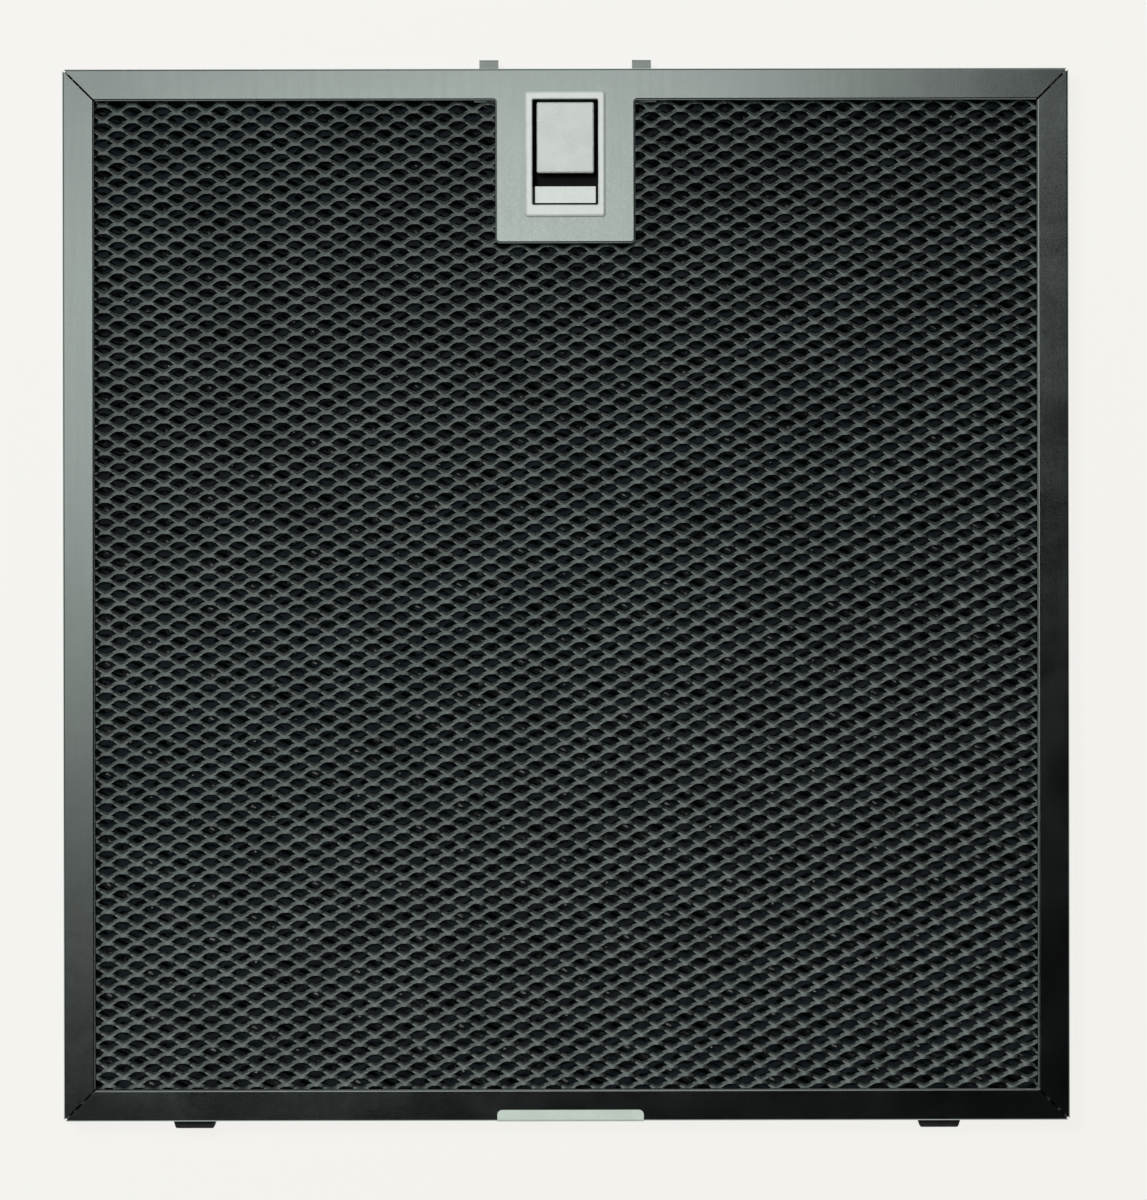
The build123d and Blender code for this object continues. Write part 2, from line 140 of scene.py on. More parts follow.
class MeshSizes(bpy.types.PropertyGroup):
    pitch: length("Pitch", 9.03, "Distance between bonds along a row")
    row_step: length("Row step", 2.408, "Distance from one row of bonds to the next")
    phase_x: length("Phase across", 4.33, "Place of one bond across the sheet")
    phase_y: length("Phase along", -18.22, "Place of one bond along the sheet")
    turn: angle("Turn", 0.27, "How far a sheet's rows lean")
    bond_half: length("Bond half width", 1.4, "Half the width of a bond, between the tips of two openings")
    bond_rise: length("Bond rise", 1.05, "From the tips up to the sharp foot of the opening above")
    flat_half: length("Flat half width", 0.85, "Half the flat top of an opening")
    flat_drop: length("Flat drop", 1.0, "From the tips down to the flat top of the opening below")
    arch_bulge: length("Arch bulge", 0.22, "How far the flank of an opening's arch bows out")
    tilt_height: length("Tilt height", 0.24, "How far an opening's arch stands above the level of the bonds")
    strand_dip: length("Strand dip", 0.14, "How far a strand's far side lies below the level of the bonds")
    edge_inset: length("Edge inset", 0.5, "Width of the rolled edge of a strand")
    edge_share: share("Edge share", 0.4, "Part of a sheet's thickness that its rolled edge takes")
    tip_share: share("Tip share", 0.25, "Part of the rolled edge that is left at the tips of an opening")
    bond_flat: length("Bond flat", 0.9, "Length of a bond's nearly level lower half")
    bond_fall: length("Bond fall", 0.06, "How far a bond's lower half falls from the arch below it")
    foot_dip: length("Foot dip", 0.06, "How far a bond's far side lies below the level of the bonds")
    tip_lift: length("Tip lift", 0.06, "How far the tips of the openings lie above the level of the bonds")
    inner_scale: share("Inner scale", 1.4, "Pattern size of the inner sheets against the outer ones")
    border_wire: length("Border wire", 1.1, "Thickness of the wire round a sheet's border")
    clearance: length("Clearance", 0.3, "Room that a sheet leaves round the latch carrier")
    arm_clearance: length("Arm clearance", 0.6, "Room that a sheet leaves beside the arms of the yoke")
    arm_overlap: length("Arm overlap", 3.0, "How far the arms' room reaches below the carrier's top")


class SpringSizes(bpy.types.PropertyGroup):
    wire: length("Wire", 0.45, "Thickness of the spring wire")
    turns: IntProperty(name="Turns", description="Turns of a latch spring", default=9, min=2)
    travel: length("Travel", 3.6, "How far the bolts slide in")


class Finishes(bpy.types.PropertyGroup):
    frame_metal: colour("Frame metal", 0.49, 0.565, 0.55, "Satin sheet of the rails and the back cover")
    bracket_metal: colour("Bracket metal", 0.46, 0.47, 0.47, "Zinc of the corner brackets")
    mesh_metal: colour("Mesh metal", 0.35, 0.42, 0.41, "Metal of the front sheet")
    # Back sheet: darker than the front sheet's metal, painted shade for the sheet seen only through the pack
    back_shaded_metal: colour("Back mesh metal and shade", 0.15, 0.18, 0.175, "Duller metal of the back sheet")
    # Inner sheets: far darker than the front sheet's metal, painted shade for the shadowed depth of the pack
    inner_shade_metal: colour("Inner mesh metal and shade", 0.042, 0.054, 0.068, "Dark metal of the inner sheets")
    latch_silver: colour("Latch silver", 0.79, 0.85, 0.82, "Silver of the surround and the pad")
    # Below this height the latch's silver turns near-black: painted shade in the grooves and recesses of the
    # surround and the pad
    painted_shade_height: length("Painted shade height", 7.3, "Height under which the latch's silver paint ends")
    # Carrier: near-black with little gloss, painted shade for the dark band in the well under the pad and the
    # gaps round it
    carrier_plastic: colour("Carrier painted shade", 0.008, 0.008, 0.009, "Moulded body behind the plate")
    bolt_metal: colour("Bolt metal", 0.74, 0.83, 0.80, "Cast yoke and bolts")
    steel: colour("Fastener steel", 0.58, 0.58, 0.57, "Screw, rivets and springs")
    tab_plastic: colour("Tab plastic", 0.016, 0.017, 0.017, "Moulded locating tabs")
    label_paper: colour("Label paper", 0.64, 0.74, 0.67, "Coated paper of the bare label")


class StageSettings(bpy.types.PropertyGroup):
    background: colour("Background", 0.905, 0.896, 0.863, "Pale floor and backdrop")
    camera_height: length("Camera height", 1000.0, "From the camera down to the front of the frame")
    camera_across: length("Camera across", 2.26, "Camera's place across the filter")
    camera_along: length("Camera along", -1.63, "Camera's place along the filter")
    camera_roll: angle("Camera roll", -0.1, "Turn of the picture")
    lens: FloatProperty(name="Lens", description="Focal length", default=98.7, unit="CAMERA")
    floor_half: length("Floor half size", 6000.0, "Half the width of the floor")
    floor_drop: length("Floor drop", 0.1, "How far the floor lies below the filter's back")
    glow_share: share("Glow share", 0.95, "Part of the floor's seen tone that shadows don't touch")
    # Soft edge of the painted shadow where the floor's glow stops at the filter's outline
    glow_fade: length("Glow fade", 1.0, "Half the width of the glow's soft start at the filter's outline")
    lamp_size: length("Lamp size", 400.0, "Width of the key lamp")
    lamp_power: FloatProperty(
        name="Lamp power", description="Power of the key lamp", default=14.0, unit="POWER"
    )
    lamp_place: FloatVectorProperty(
        name="Lamp place",
        description="Place of the key lamp, up and to the left",
        default=(-0.42, 0.42, 1.04),
        size=3,
        subtype="TRANSLATION",
        unit="LENGTH",
    )


def new_node(tree, kind, settings=None, inputs=None):
    """Adds a node, sets its options, and sets or links its inputs, given by name or place."""
    node = tree.nodes.new(kind)
    for key, value in (settings or {}).items():
        setattr(node, key, value)
    for key, value in (inputs or {}).items():
        if isinstance(value, bpy.types.NodeSocket):
            tree.links.new(value, node.inputs[key])
        else:
            node.inputs[key].default_value = value
    return node


def math_node(tree, operation, first, second=0.0):
    """The result of one sum on two sockets or numbers."""
    return new_node(tree, "ShaderNodeMath", {"operation": operation}, {0: first, 1: second}).outputs[0]


def product(tree, first, *others):
    """The product of several sockets."""
    for other in others:
        first = math_node(tree, "MULTIPLY", first, other)
    return first


def ramp(tree, value, low, high, at_low, at_high):
    """A smooth step of a value, from at_low at low to at_high at high."""
    node = new_node(
        tree,
        "ShaderNodeMapRange",
        {"interpolation_type": "SMOOTHSTEP"},
        {"Value": value, "From Min": low, "From Max": high, "To Min": at_low, "To Max": at_high},
    )
    return node.outputs["Result"]


def rgba(values, factor=1.0):
    """A solid colour, made darker or lighter by a factor."""
    return (values[0] * factor, values[1] * factor, values[2] * factor, 1.0)


def new_material(name):
    """An empty material, and the tree to fill."""
    material = bpy.data.materials.new(name)
    material.use_nodes = True
    tree = material.node_tree
    tree.nodes.clear()
    return material, tree


def object_noise(tree, scale, detail, stretch=(1.0, 1.0, 1.0), distortion=0.0):
    """Noise on the piece's own coordinates, with feature counts per metre."""
    place = new_node(tree, "ShaderNodeTexCoord").outputs["Object"]
    mapped = new_node(tree, "ShaderNodeMapping", None, {"Vector": place, "Scale": stretch}).outputs["Vector"]
    noise = new_node(
        tree,
        "ShaderNodeTexNoise",
        None,
        {
            "Vector": mapped,
            "Scale": scale,
            "Detail": detail,
            "Roughness": NOISE_ROUGHNESS,
            "Distortion": distortion,
        },
    )
    return noise.outputs["Fac"]


def finish(tree, base, rough, height, height_size, metallic, specular=0.5):
    """Closes a material: shader, roughness, grain and output."""
    bump = new_node(
        tree, "ShaderNodeBump", None, {"Strength": 1.0, "Distance": height_size, "Height": height}
    )
    shader = new_node(
        tree,
        "ShaderNodeBsdfPrincipled",
        None,
        {
            "Base Color": base,
            "Roughness": rough,
            "Metallic": metallic,
            "Specular IOR Level": specular,
            "Normal": bump.outputs["Normal"],
        },
    )
    new_node(tree, "ShaderNodeOutputMaterial", None, {"Surface": shader.outputs["BSDF"]})


def mix_colour(tree, factor, first, second):
    """A mix of two colours, each a socket or a plain colour."""
    node = new_node(tree, "ShaderNodeMix", {"data_type": "RGBA"}, {"Factor": factor})
    for place, value in ((MIX_FIRST, first), (MIX_SECOND, second)):
        if isinstance(value, bpy.types.NodeSocket):
            tree.links.new(value, node.inputs[place])
        else:
            node.inputs[place].default_value = value
    return node.outputs[MIX_RESULT]


def satin_metal(name, base, smooth, rough, grain=4 * MICRON):
    """Rolled sheet: cloudy tone, faint rolling streaks and a fine grain."""
    material, tree = new_material(name)
    clouds = object_noise(tree, 55.0, 4.0, distortion=0.4)
    streaks = object_noise(tree, 420.0, 3.0, stretch=(1.0, 0.06, 1.0))
    speckle = object_noise(tree, 2600.0, 2.0)
    tone = mix_colour(tree, ramp(tree, clouds, 0.3, 0.7, 0.0, 1.0), rgba(base, 0.93), rgba(base, 1.05))
    tone = mix_colour(tree, ramp(tree, streaks, 0.35, 0.75, 0.0, 0.5), tone, rgba(base, 0.9))
    tone = mix_colour(tree, ramp(tree, speckle, 0.45, 0.8, 0.0, 0.35), tone, rgba(base, 1.12))
    roughness = math_node(
        tree, "ADD", ramp(tree, clouds, 0.25, 0.75, smooth, rough), ramp(tree, speckle, 0.3, 0.7, -0.02, 0.03)
    )
    finish(tree, tone, roughness, speckle, grain, 1.0)
    return material


def zinc_metal(name, base, smooth, rough):
    """Zinc plate: spangle cells of slightly different tone."""
    material, tree = new_material(name)
    place = new_node(tree, "ShaderNodeTexCoord").outputs["Object"]
    cells = new_node(tree, "ShaderNodeTexVoronoi", None, {"Vector": place, "Scale": 420.0, "Randomness": 1.0})
    level = new_node(tree, "ShaderNodeSeparateColor", None, {"Color": cells.outputs["Color"]}).outputs["Red"]
    grain = object_noise(tree, 1800.0, 3.0)
    tone = mix_colour(tree, level, rgba(base, 0.82), rgba(base, 1.15))
    roughness = ramp(tree, grain, 0.25, 0.75, smooth, rough)
    finish(tree, tone, roughness, grain, 6 * MICRON, 1.0)
    return material


def strand_metal(name, base, smooth, rough):
    """Slit and drawn sheet: cloudy tone and fine draw marks."""
    material, tree = new_material(name)
    clouds = object_noise(tree, 70.0, 4.0, distortion=0.6)
    marks = object_noise(tree, 1500.0, 3.0)
    tone = mix_colour(tree, ramp(tree, clouds, 0.3, 0.7, 0.0, 1.0), rgba(base, 0.82), rgba(base, 1.12))
    tone = mix_colour(tree, ramp(tree, marks, 0.45, 0.75, 0.0, 0.6), tone, rgba(base, 1.3))
    roughness = ramp(tree, marks, 0.25, 0.75, smooth, rough)
    finish(tree, tone, roughness, marks, 10 * MICRON, 1.0)
    return material


def silver_paint(name, base, smooth, rough, metallic, bare, foot):
    """Metallic paint on moulded plastic: soft mottle with fine flakes; below the foot it turns to the given
    bare colour, painted shade in the latch's grooves and recesses.
    """
    material, tree = new_material(name)
    mottle = object_noise(tree, 190.0, 3.0, distortion=0.8)
    flakes = object_noise(tree, 4200.0, 1.0)
    tone = mix_colour(tree, ramp(tree, mottle, 0.3, 0.7, 0.0, 1.0), rgba(base, 0.9), rgba(base, 1.04))
    tone = mix_colour(tree, ramp(tree, flakes, 0.5, 0.8, 0.0, 0.5), tone, rgba(base, 1.12))
    place = new_node(tree, "ShaderNodeTexCoord").outputs["Object"]
    height = new_node(tree, "ShaderNodeSeparateXYZ", None, {"Vector": place}).outputs["Z"]
    # Painted shade: below the foot height the silver gives way to the near-black carrier colour
    tone = mix_colour(tree, ramp(tree, height, foot - SHADE_EDGE_FADE, foot, 0.0, 1.0), rgba(bare), tone)
    roughness = math_node(
        tree, "ADD", ramp(tree, mottle, 0.3, 0.7, smooth, rough), ramp(tree, flakes, 0.3, 0.7, -0.03, 0.03)
    )
    finish(tree, tone, roughness, flakes, 3 * MICRON, metallic)
    return material


def moulded_plastic(name, base, smooth, rough, specular):
    """Moulded plastic: fine eroded texture with slightly uneven gloss."""
    material, tree = new_material(name)
    flow = object_noise(tree, 120.0, 3.0, distortion=0.7)
    pits = object_noise(tree, 3200.0, 2.0)
    tone = mix_colour(tree, ramp(tree, flow, 0.3, 0.7, 0.0, 1.0), rgba(base, 0.88), rgba(base, 1.08))
    roughness = math_node(
        tree, "ADD", ramp(tree, flow, 0.3, 0.7, smooth, rough), ramp(tree, pits, 0.3, 0.7, -0.04, 0.04)
    )
    finish(tree, tone, roughness, pits, 10 * MICRON, 0.0, specular)
    return material


def coated_paper(name, base):
    """Label paper: faint fibres and soft clouding."""
    material, tree = new_material(name)
    fibres = object_noise(tree, 900.0, 4.0, stretch=(0.25, 1.0, 1.0), distortion=0.5)
    clouds = object_noise(tree, 140.0, 3.0)
    tone = mix_colour(tree, ramp(tree, clouds, 0.3, 0.7, 0.0, 1.0), rgba(base, 0.94), rgba(base, 1.03))
    tone = mix_colour(tree, ramp(tree, fibres, 0.5, 0.8, 0.0, 0.4), tone, rgba(base, 0.88))
    roughness = ramp(tree, fibres, 0.3, 0.7, 0.42, 0.58)
    finish(tree, tone, roughness, fibres, 8 * MICRON, 0.0)
    return material


def paint_nodes(names, material):
    """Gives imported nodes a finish, in their objects' own slots."""
    for name in names:
        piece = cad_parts[name]
        if not piece.material_slots:
            piece.data.materials.append(material)
        for slot in piece.material_slots:
            slot.material = material


def plain_mesh(piece):
    """Turns what a piece's node tree makes into the piece's own mesh."""
    evaluated = piece.evaluated_get(bpy.context.evaluated_depsgraph_get())
    made = bpy.data.meshes.new_from_object(evaluated)
    made.name = piece.name
    piece.modifiers.clear()
    piece.data = made
    if not made.polygons:
        raise RuntimeError(piece.name + " came out empty")


def tree_modifier(piece, tree, values):
    """Adds a node tree to a piece and sets its named inputs."""
    modifier = piece.modifiers.new(tree.name, "NODES")
    modifier.node_group = tree
    for socket in tree.interface.items_tree:
        if socket.in_out == "INPUT" and socket.name in values:
            modifier[socket.identifier] = values[socket.name]


def new_tree(name, inputs):
    """A geometry node tree with named inputs, and its input and output nodes."""
    tree = bpy.data.node_groups.new(name, "GeometryNodeTree")
    tree.interface.new_socket("Geometry", in_out="INPUT", socket_type="NodeSocketGeometry")
    for label, kind in inputs:
        tree.interface.new_socket(label, in_out="INPUT", socket_type="NodeSocket" + kind)
    tree.interface.new_socket("Geometry", in_out="OUTPUT", socket_type="NodeSocketGeometry")
    return tree, tree.nodes.new("NodeGroupInput").outputs, tree.nodes.new("NodeGroupOutput").inputs


def linked_object(name, mesh):
    """A new object in the scene, at the origin."""
    piece = bpy.data.objects.new(name, mesh)
    bpy.context.scene.collection.objects.link(piece)
    return piece


def bond_points(sizes, scale, depth):
    """Named corners of half a bond and of the half strands that leave it, above and below its tips."""
    half_pitch = sizes.pitch * scale / 2
    step = sizes.row_step * scale
    bond = sizes.bond_half * scale
    rise = sizes.bond_rise * scale
    flat = sizes.flat_half * scale
    drop = sizes.flat_drop * scale
    high = sizes.tilt_height
    rolled = Vector((0, 0, -sizes.edge_share * depth))
    keel_level = high - depth
    along = Vector((half_pitch - bond, step - rise, 0)).normalized()
    inward = Vector((along.y, -along.x, 0)) * sizes.edge_inset
    flank = Vector((half_pitch - flat - bond, step - drop, 0)).normalized()
    bulge = Vector((-flank.y, flank.x, 0)) * sizes.arch_bulge

    foot_top = Vector((0, rise - sizes.edge_inset / along.x, -sizes.foot_dip))
    foot = Vector((0, rise, -sizes.foot_dip)) + rolled
    tip_top = Vector((bond - sizes.edge_inset, 0, sizes.tip_lift))
    tip = Vector((bond, 0, sizes.tip_lift)) + rolled * sizes.tip_share
    flat_end = Vector((flat, -drop, high))
    flat_middle = Vector((0, -drop, high))
    brow = Vector((0, sizes.bond_flat * scale - drop, high - sizes.bond_fall))
    keel = Vector((0, (rise - drop) / 2, keel_level))

    def from_right(point):
        return Vector((half_pitch - point.x, step + point.y, point.z))

    sharp = (foot + from_right(tip)) / 2
    sharp.z = rolled.z - sizes.strand_dip
    sharp_top = sharp + inward - rolled
    arch = (tip + from_right(flat_end)) / 2 + bulge
    under = (sharp + arch) / 2
    under.z = keel_level
    points = {
        "foot": foot,
        "foot_top": foot_top,
        "tip": tip,
        "tip_top": tip_top,
        "flat_end": flat_end,
        "flat_middle": flat_middle,
        "keel": keel,
    }
    upper = {"sharp": sharp, "sharp_top": sharp_top, "arch": arch, "under": under}
    points.update(upper)
    for name, point in upper.items():
        points["low_" + name] = Vector((half_pitch - point.x, point.y - step, point.z))
    points["brow"] = brow
    return points


BOND_FACES = (
    ("foot", "foot_top", "sharp_top", "sharp"),
    ("foot_top", "tip_top", "arch", "sharp_top"),
    ("tip_top", "tip", "arch"),
    ("foot_top", "brow", "tip_top"),
    ("brow", "flat_middle", "flat_end", "tip_top"),
    ("tip_top", "flat_end", "low_arch", "low_sharp_top"),
    ("tip_top", "low_sharp_top", "low_sharp", "tip"),
    ("foot", "sharp", "under", "keel"),
    ("tip", "keel", "under", "arch"),
    ("tip", "low_sharp", "low_under", "keel"),
    ("flat_end", "keel", "low_under", "low_arch"),
    ("flat_middle", "keel", "flat_end"),
)
BOND_CREASES = (
    ("tip", "arch"),
    ("flat_end", "flat_middle"),
    ("flat_end", "low_arch"),
    ("foot", "sharp"),
    ("tip", "low_sharp"),
    ("keel", "under"),
    ("keel", "low_under"),
)


def bond_cell(name, sizes, scale, depth, facing):
    """One bond with its four half strands, as a mesh object that a node tree repeats."""
    right = bond_points(sizes, scale, depth)
    points = []
    faces = []
    creases = set()
    for side in (1, -1):
        place = {name: len(points) + i for i, name in enumerate(right)}
        points += [(side * point.x, point.y, facing * point.z) for point in right.values()]
        for face in BOND_FACES:
            order = face if side * facing > 0 else reversed(face)
            faces.append([place[corner] for corner in order])
        creases.update(frozenset((place[first], place[second])) for first, second in BOND_CREASES)
    mesh = bpy.data.meshes.new(name)
    mesh.from_pydata(points, [], faces)
    mesh.shade_smooth()
    for edge in mesh.edges:
        edge.use_edge_sharp = frozenset(edge.vertices) in creases
    return linked_object(name, mesh)


def counted_from_middle(tree, number, count):
    """A row's or column's number, counted from the middle one."""
    middle = math_node(tree, "FLOOR", math_node(tree, "DIVIDE", count, 2.0))
    return math_node(tree, "SUBTRACT", number, middle)


def sheet_tree():
    """Expanded sheet: bonds on a staggered lattice inside a border, less the latch's room."""
    tree, given, made = new_tree(
        "expanded sheet",
        (
            ("Bond", "Object"),
            ("Pitch", "Float"),
            ("Row step", "Float"),
            ("Phase across", "Float"),
            ("Phase along", "Float"),
            ("Turn", "Float"),
            ("Columns", "Int"),
            ("Rows", "Int"),
            ("Level", "Float"),
            ("Half width", "Float"),
            ("Half length", "Float"),
            ("Latch half width", "Float"),
            ("Latch foot", "Float"),
            ("Arm half width", "Float"),
            ("Arm foot", "Float"),
            ("Border wire", "Float"),
            ("Finish", "Material"),
        ),
    )
    index = new_node(tree, "GeometryNodeInputIndex").outputs[0]
    rows_before = math_node(tree, "DIVIDE", math_node(tree, "ADD", index, 0.5), given["Columns"])
    row = math_node(tree, "FLOOR", rows_before)
    column = math_node(tree, "SUBTRACT", index, math_node(tree, "MULTIPLY", row, given["Columns"]))
    row = counted_from_middle(tree, row, given["Rows"])
    column = counted_from_middle(tree, column, given["Columns"])
    stagger = math_node(tree, "MULTIPLY", math_node(tree, "FLOORED_MODULO", row, 2.0), 0.5)
    across = math_node(tree, "MULTIPLY", math_node(tree, "ADD", column, stagger), given["Pitch"])
    along = math_node(tree, "MULTIPLY", row, given["Row step"])
    x = math_node(tree, "SUBTRACT", across, math_node(tree, "MULTIPLY", along, given["Turn"]))
    x = math_node(tree, "ADD", x, given["Phase across"])
    y = math_node(tree, "ADD", along, math_node(tree, "MULTIPLY", across, given["Turn"]))
    y = math_node(tree, "ADD", y, given["Phase along"])
    place = new_node(tree, "ShaderNodeCombineXYZ", None, {"X": x, "Y": y, "Z": given["Level"]}).outputs[0]
    count = math_node(tree, "MULTIPLY", given["Columns"], given["Rows"])
    points = new_node(tree, "GeometryNodePoints", None, {"Count": count, "Position": place}).outputs[0]
    bond = new_node(tree, "GeometryNodeObjectInfo", None, {"Object": given["Bond"], "As Instance": True})
    spread = new_node(
        tree, "GeometryNodeInstanceOnPoints", None, {"Points": points, "Instance": bond.outputs["Geometry"]}
    ).outputs[0]
    strands = new_node(tree, "GeometryNodeRealizeInstances", None, {"Geometry": spread}).outputs[0]

    where = new_node(tree, "GeometryNodeInputPosition").outputs[0]
    split = new_node(tree, "ShaderNodeSeparateXYZ", None, {"Vector": where}).outputs
    from_middle = math_node(tree, "ABSOLUTE", split["X"])
    off_side = math_node(tree, "GREATER_THAN", from_middle, given["Half width"])
    off_end = math_node(tree, "GREATER_THAN", math_node(tree, "ABSOLUTE", split["Y"]), given["Half length"])
    outside = math_node(tree, "MAXIMUM", off_side, off_end)
    for half_width, foot in (("Latch half width", "Latch foot"), ("Arm half width", "Arm foot")):
        within = math_node(tree, "LESS_THAN", from_middle, given[half_width])
        above = math_node(tree, "GREATER_THAN", split["Y"], given[foot])
        outside = math_node(tree, "MAXIMUM", outside, math_node(tree, "MULTIPLY", within, above))
    trimmed = new_node(
        tree, "GeometryNodeDeleteGeometry", {"domain": "FACE"}, {"Geometry": strands, "Selection": outside}
    ).outputs[0]
    sealed = new_node(
        tree, "GeometryNodeMergeByDistance", None, {"Geometry": trimmed, "Distance": MERGE_DISTANCE}
    ).outputs[0]

    border = new_node(tree, "GeometryNodeMeshToCurve", None, {"Mesh": given["Geometry"]}).outputs[0]
    section = new_node(
        tree,
        "GeometryNodeCurvePrimitiveQuadrilateral",
        None,
        {"Width": given["Border wire"], "Height": given["Border wire"]},
    ).outputs[0]
    wire = new_node(
        tree, "GeometryNodeCurveToMesh", None, {"Curve": border, "Profile Curve": section}
    ).outputs[0]
    joined = new_node(tree, "GeometryNodeJoinGeometry")
    tree.links.new(sealed, joined.inputs[0])
    tree.links.new(wire, joined.inputs[0])
    whole = new_node(tree, "GeometryNodeRealizeInstances", None, {"Geometry": joined.outputs[0]}).outputs[0]
    painted = new_node(
        tree, "GeometryNodeSetMaterial", None, {"Geometry": whole, "Material": given["Finish"]}
    )
    tree.links.new(painted.outputs[0], made[0])
    return tree


def border_line(name, low, high, level, inset, latch_half, latch_foot, arm_half, arm_foot):
    """A sheet's border as one closed line of edges, inset by half its wire."""
    left, right = low.x + inset, high.x - inset
    bottom, top = low.y + inset, high.y - inset
    latch_half, latch_foot = latch_half + inset, latch_foot - inset
    arm_half, arm_foot = arm_half + inset, arm_foot - inset
    corners = [
        (left, bottom),
        (right, bottom),
        (right, top),
        (arm_half, top),
        (arm_half, arm_foot),
        (latch_half, arm_foot),
        (latch_half, latch_foot),
        (-latch_half, latch_foot),
        (-latch_half, arm_foot),
        (-arm_half, arm_foot),
        (-arm_half, top),
        (left, top),
    ]
    mesh = bpy.data.meshes.new(name)
    edges = [(i, (i + 1) % len(corners)) for i in range(len(corners))]
    mesh.from_pydata([(x, y, level) for x, y in corners], edges, [])
    return linked_object(name, mesh)


def node_box(name):
    """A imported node's lowest and highest corners."""
    low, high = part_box(name)
    return Vector(low), Vector(high)


class FILTER_OT_rails(bpy.types.Operator):
    """Gives the rails, the back cover and the corner brackets their metal finishes"""

    bl_idname = "filter.rails"
    bl_label = "Rails"

    def execute(self, context):
        finishes = context.scene.filter_finishes
        sheet = satin_metal("satin sheet", finishes.frame_metal, smooth=0.13, rough=0.17)
        paint_nodes(RAILS + ("latch_back_cover",), sheet)
        paint_nodes(BRACKETS, zinc_metal("bracket zinc", finishes.bracket_metal, smooth=0.3, rough=0.45))
        return {"FINISHED"}


class FILTER_OT_sheets(bpy.types.Operator):
    """Makes the five expanded sheets of the filter pack"""

    bl_idname = "filter.sheets"
    bl_label = "Expanded sheets"

    def execute(self, context):
        sizes = context.scene.filter_mesh
        finishes = context.scene.filter_finishes
        outer = strand_metal("outer strand metal", finishes.mesh_metal, smooth=0.26, rough=0.34)
        # The back sheet's darker tone is painted shade for the sheet seen through the pack
        back = strand_metal("back strand metal", finishes.back_shaded_metal, smooth=0.3, rough=0.4)
        # The inner sheets' dark tone is painted shade for the depth of the pack
        inner = strand_metal("inner strand metal", finishes.inner_shade_metal, smooth=0.4, rough=0.52)
        tree = sheet_tree()
        carrier_low, carrier_high = node_box("latch_carrier")
        yoke_high = node_box("latch_yoke")[1]
        latch_half = carrier_high.x + sizes.clearance
        latch_foot = carrier_low.y - sizes.clearance
        arm_half = yoke_high.x + sizes.arm_clearance
        arm_foot = carrier_high.y - sizes.arm_overlap
        # Sheet, slot, finish, size of the pattern, side it faces, and shift in parts of a pitch
        plans = (
            ("back_mesh", "mesh_metal", back, 1.0, DOWNWARD, 0.0),
            ("inner_mesh_3", "inner_mesh_metal", inner, sizes.inner_scale, UPWARD, 0.3),
            ("inner_mesh_2", "inner_mesh_metal", inner, sizes.inner_scale, DOWNWARD, 0.7),
            ("inner_mesh_1", "inner_mesh_metal", inner, sizes.inner_scale, UPWARD, 0.5),
            ("front_mesh", "mesh_metal", outer, 1.0, UPWARD, 0.0),
        )
        for name, slot, material, scale, facing, shift in plans:
            low, high = node_box(name)
            middle = (low.z + high.z) / 2
            thickness = high.z - low.z
            level = middle + facing * (thickness / 2 - sizes.tilt_height)
            wire = min(sizes.border_wire, thickness)
            cell = bond_cell(name + "_bond", sizes, scale, thickness, facing)
            piece = border_line(
                name + "_strands", low, high, middle, wire / 2, latch_half, latch_foot, arm_half, arm_foot
            )
            pitch = sizes.pitch * scale
            step = sizes.row_step * scale
            # At the yoke's height the strands end half a row sooner, clear of its sliding arms
            spare = step / 2 if low.z < yoke_high.z else 0.0
            values = {
                "Bond": cell,
                "Pitch": pitch,
                "Row step": step,
                "Phase across": sizes.phase_x + shift * pitch,
                "Phase along": sizes.phase_y + shift * step,
                "Turn": math.tan(sizes.turn),
                "Columns": 2 * math.ceil((high.x + abs(sizes.phase_x)) / pitch) + SPARE_BONDS,
                "Rows": 2 * math.ceil((high.y + abs(sizes.phase_y)) / step) + SPARE_BONDS,
                "Level": level,
                "Half width": high.x - wire / 2,
                "Half length": high.y - wire / 2,
                "Latch half width": latch_half + wire / 2,
                "Latch foot": latch_foot - wire / 2,
                "Arm half width": arm_half + wire / 2,
                "Arm foot": arm_foot - wire / 2 - spare,
                "Border wire": wire,
                "Finish": material,
            }
            tree_modifier(piece, tree, values)
            plain_mesh(piece)
            bpy.data.objects.remove(cell)
            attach(piece, "filter")
            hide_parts(name)
        return {"FINISHED"}


class FILTER_OT_latch(bpy.types.Operator):
    """Gives the latch surround, pad, carrier, yoke, fasteners and the tabs their finishes"""

    bl_idname = "filter.latch"
    bl_label = "Latch and tabs"

    def execute(self, context):
        finishes = context.scene.filter_finishes
        # bare and foot set the painted shade that replaces the silver low in the latch's recesses
        silver, bare, foot = finishes.latch_silver, finishes.carrier_plastic, finishes.painted_shade_height
        surround = silver_paint(
            "surround silver", silver, smooth=0.18, rough=0.24, metallic=0.5, bare=bare, foot=foot
        )
        pad = silver_paint("pad silver", silver, smooth=0.18, rough=0.26, metallic=0.7, bare=bare, foot=foot)
        # Near-black carrier with little gloss: painted shade in the latch well under the pad
        carrier = moulded_plastic("carrier plastic", bare, smooth=0.6, rough=0.75, specular=0.05)
        bolts = satin_metal("cast bolt metal", finishes.bolt_metal, smooth=0.3, rough=0.4)
        tabs = moulded_plastic("tab plastic", finishes.tab_plastic, smooth=0.35, rough=0.5, specular=0.5)
        steel = zinc_metal("fastener steel", finishes.steel, smooth=0.22, rough=0.35)
        paint_nodes(("latch_bezel",), surround)
        paint_nodes(("latch_pad",), pad)
        paint_nodes(("latch_carrier",), carrier)
        paint_nodes(("latch_yoke",), bolts)
        paint_nodes(("locating_tab_left", "locating_tab_right"), tabs)
        paint_nodes(("pad_screw", "cover_rivets"), steel)
        return {"FINISHED"}


